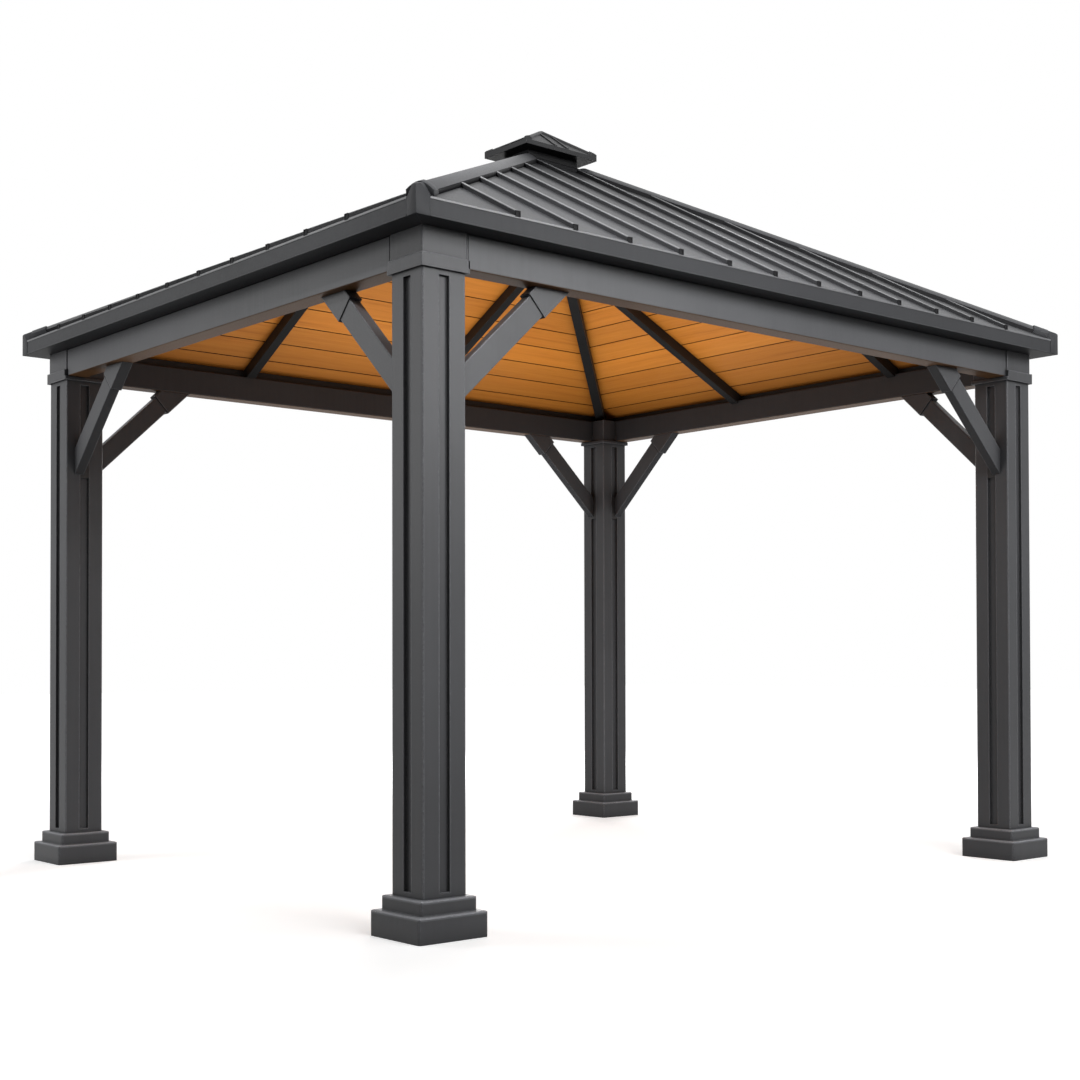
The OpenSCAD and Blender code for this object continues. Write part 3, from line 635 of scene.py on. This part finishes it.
def isHem(face):
    middle = face.center
    corner = Vector((math.copysign(eaveCorner[0], middle.x), math.copysign(eaveCorner[1], middle.y), 0))
    low, high = linerLook["hemReach"]
    return abs(face.normal.z) < linerLook["hemUpright"] and low < (middle - corner).dot(face.normal) < high


def isSkirtEdge(face):
    outward = face.normal.x * face.center.x + face.normal.y * face.center.y
    return abs(face.normal.z) < near["mostly"] and outward > linerLook["skirtOutward"]


linerFaces = [
    lineFaces("brace_sockets", "socket_shade_rings", isMouth, linerLook["socketShade"]),
    # painted shade on the hip caps' hems and on the flashing's outer edge
    lineFaces("hip_caps", "hip_hem_shade", isHem, linerLook["shadeSkin"]),
    lineFaces("vent_flashing", "flashing_edge_shade", isSkirtEdge, linerLook["shadeSkin"]),
]
print("liner faces:", linerFaces)


# Hip caps and corner hoods with smooth rolled crowns
rollLook = {"edge": 0.0008, "steps": 2, "edgeAngle": 40, "smoothAngle": 32}


def rollPiece(node, name, finish):
    rolled = copyPiece(nodes[node], name)
    soften = rolled.modifiers.new("edges", "BEVEL")
    soften.width = rollLook["edge"]
    soften.segments = rollLook["steps"]
    soften.limit_method = "ANGLE"
    soften.angle_limit = math.radians(rollLook["edgeAngle"])
    bpy.ops.object.modifier_apply(modifier=soften.name)
    bpy.ops.object.shade_smooth_by_angle(angle=math.radians(rollLook["smoothAngle"]))
    coatPiece(rolled, finish)
    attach(rolled, "root")
    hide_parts(node)


rollPiece("hip_caps", "rolled_hip_caps", coatOf["hip"])
rollPiece("corner_hoods", "rolled_corner_hoods", coatOf["fascia"])
print("hips rolled")


# End plates that close the beams beside the post heads, above the bands
plateLook = {"depth": 0.0062, "inset": 0.0012, "low": 0.031, "round": 0.001, "steps": 2}


def plateBeam(side):
    low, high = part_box("beam_" + side)
    along, through = sideAxes(side)[1:]
    size = along * plateLook["depth"] + through * ((high - low).dot(through) - 2 * plateLook["inset"])
    size.z = high.z - low.z - plateLook["low"]
    plates = []
    for end, sign in ((high, 1), (low, -1)):
        centre = (low + high) / 2
        centre += along * (end.dot(along) + sign * plateLook["depth"] / 2 - centre.dot(along))
        centre.z = (low.z + plateLook["low"] + high.z) / 2
        plate = addBlock("plate", centre, size)
        bpy.ops.object.mode_set(mode="EDIT")
        bpy.ops.mesh.select_all(action="SELECT")
        bpy.ops.mesh.bevel(offset=plateLook["round"], segments=plateLook["steps"], affect="EDGES")
        bpy.ops.object.mode_set(mode="OBJECT")
        plates.append(plate)
    joined = joinPieces(plates, "beam_end_plates_" + side)
    coatPiece(joined, coatOf["beam"])
    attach(joined, "root")
    return len(plates)


print("beam end plates:", sum(plateBeam(side) for side in sides))


# Rays from the camera, and those that metal or glass sends on: they see a white background
def seenRays(tree):
    rays = addNode(tree, "ShaderNodeLightPath")
    total = rays.outputs["Is Camera Ray"]
    for kind in ("Is Glossy Ray", "Is Transmission Ray"):
        both = addNode(tree, "ShaderNodeMath", operation="MAXIMUM")
        tree.links.new(total, both.inputs[0])
        tree.links.new(rays.outputs[kind], both.inputs[1])
        total = both.outputs[0]
    return total


# Pale floor that keeps the shadow and fades into the white background
floorLook = {
    "size": 80.0, "seenColour": (0.94, 0.94, 0.94), "bounceColour": (0.32, 0.32, 0.32),
    "glow": 0.4, "fade": (2.6, 6.0), "roughness": 0.9,
}


def layFloor():
    deselectAll()
    bpy.ops.mesh.primitive_plane_add(size=floorLook["size"], location=(0, 0, 0))
    floor = bpy.context.object
    floor.name = "studio_floor"
    finish, tree, shader = newFinish("pale_floor")
    coords = addNode(tree, "ShaderNodeTexCoord").outputs["Object"]
    length = addNode(tree, "ShaderNodeVectorMath", operation="LENGTH")
    tree.links.new(coords, length.inputs[0])
    seen = seenRays(tree)
    glow = addNode(tree, "ShaderNodeMath", operation="MULTIPLY")
    fade = mapRange(tree, length.outputs["Value"], *floorLook["fade"], floorLook["glow"], 1)
    tree.links.new(fade, glow.inputs[0])
    tree.links.new(seen, glow.inputs[1])
    tree.links.new(glow.outputs[0], shader.inputs["Emission Strength"])
    colour = mixColour(tree, seen, floorLook["bounceColour"], floorLook["seenColour"])
    tree.links.new(colour, shader.inputs["Base Color"])
    shader.inputs["Emission Color"].default_value = (1, 1, 1, 1)
    shader.inputs["Roughness"].default_value = floorLook["roughness"]
    shader.inputs["Specular IOR Level"].default_value = 0.0
    coatPiece(floor, finish)


# Soft studio light: a strip and a key in front, a glint on the near post, a rake over the roof, and fills
studioLight = {
    "skyLevel": 0.22,
    "lamps": [
        {"name": "front_strip", "spot": (0.9, -4.7, 3.6), "aim": (0.7, -1.4, 2.2), "size": (5.5, 1.2),
         "spread": 95, "power": 39},
        {"name": "front_key", "spot": (-1.5, -8, 5.2), "aim": (0, 0, 1.3), "size": (4.0, 4.0),
         "spread": 180, "power": 250},
        {"name": "post_glint", "spot": (1.2, -5.4, 2.9), "aim": (-1.6, -1.4, 1.9), "size": (1.2, 0.9),
         "spread": 40, "power": 5},
        {"name": "roof_rake", "spot": (-4.2, -1.35, 5.2), "aim": (-0.4, -1.2, 2.6), "size": (0.8, 0.8),
         "spread": 34, "power": 17},
        {"name": "left_fill", "spot": (-4.2, 2.0, 2.4), "aim": (-1.7, 0.7, 1.7), "size": (2.0, 2.0),
         "spread": 180, "power": 47},
        {"name": "room_fill", "spot": (0.25, 0.35, 0.05), "aim": (0.25, 0.35, 3), "size": (2.4, 2.0),
         "spread": 115, "power": 24},
        {"name": "back_fill", "spot": (5.5, 5.5, 4.2), "aim": (0, 0, 1.5), "size": (4.0, 4.0),
         "spread": 180, "power": 420},
    ],
}


def lightStudio():
    world = bpy.data.worlds.new("studio")
    bpy.context.scene.world = world
    world.use_nodes = True
    tree = world.node_tree
    sky = tree.nodes["Background"]
    sky.inputs["Color"].default_value = (1, 1, 1, 1)
    tree.links.new(mapRange(tree, seenRays(tree), 0, 1, studioLight["skyLevel"], 1), sky.inputs["Strength"])
    for row in studioLight["lamps"]:
        deselectAll()
        bpy.ops.object.light_add(type="AREA", location=row["spot"])
        lamp = bpy.context.object
        lamp.name = row["name"]
        lamp.data.shape = "RECTANGLE"
        lamp.data.size, lamp.data.size_y = row["size"]
        lamp.data.spread = math.radians(row["spread"])
        lamp.data.energy = row["power"]
        lamp.visible_camera = False
        lamp.rotation_euler = (Vector(row["aim"]) - Vector(row["spot"])).to_track_quat("-Z", "Y").to_euler()


# Camera at the photograph's place: low, outside the front left corner
photoCamera = {
    "spot": (-4.7500, -5.6193, 0.8906), "pitch": 0.965, "roll": 0.133, "heading": -40.652,
    "lens": 53.652, "sensor": 36, "shift": (-0.0133, 0.0886),
}


def setCamera():
    deselectAll()
    bpy.ops.object.camera_add(location=photoCamera["spot"])
    camera = bpy.context.object
    turns = (90 + photoCamera["pitch"], photoCamera["roll"], photoCamera["heading"])
    camera.rotation_euler = [math.radians(turn) for turn in turns]
    camera.data.lens = photoCamera["lens"]
    camera.data.sensor_width = photoCamera["sensor"]
    camera.data.shift_x, camera.data.shift_y = photoCamera["shift"]
    bpy.context.scene.camera = camera


layFloor()
lightStudio()
setCamera()
bpy.context.scene.view_settings.view_transform = "Standard"
print("studio set")
